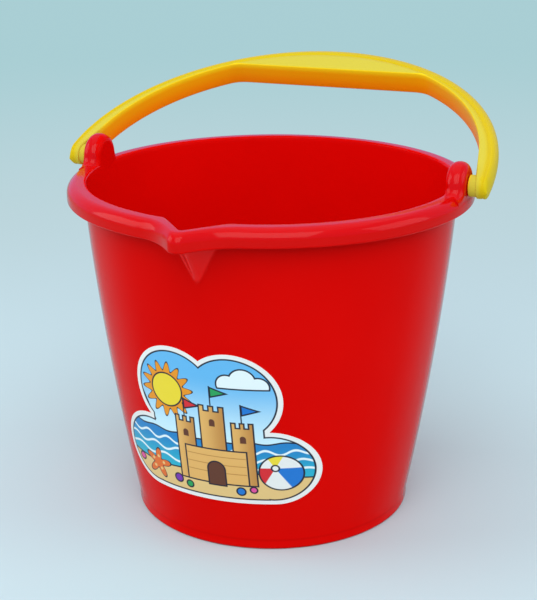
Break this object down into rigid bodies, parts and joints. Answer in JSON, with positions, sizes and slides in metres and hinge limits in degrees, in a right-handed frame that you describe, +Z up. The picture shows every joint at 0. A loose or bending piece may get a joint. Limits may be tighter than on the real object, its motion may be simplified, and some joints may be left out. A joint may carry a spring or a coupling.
{
  "type": "sand bucket",
  "caption": "Child's round tapered plastic bucket with a turned-down rim and a pouring spout, and a moulded bail handle with a flat grip that swings between upright ears.",
  "frame": {"origin": "middle of the foot ring, on the surface that the bucket stands on", "axes": "+Z up; X along the handle's pivot axis; the spout points towards -Y; the handle leans towards +Y at rest"},
  "size_m": [0.1988, 0.2017, 0.1942],
  "materials": {
    "red_plastic": "glossy injection-moulded polypropylene",
    "yellow_plastic": "satin-gloss injection-moulded polypropylene",
    "label_film": "printed self-adhesive film"
  },
  "bodies": {
    "bucket": {"bucket_body": "red_plastic", "picture_label": "label_film"},
    "handle": {"bail_handle": "yellow_plastic"}
  },
  "joints": [
    {"name": "handle_swing", "type": "hinge", "parent": "bucket", "child": "handle", "pos_m": [0, 0, 0.1557], "axis": [1, 0, 0], "range_deg": [-16, 156]}
  ]
}
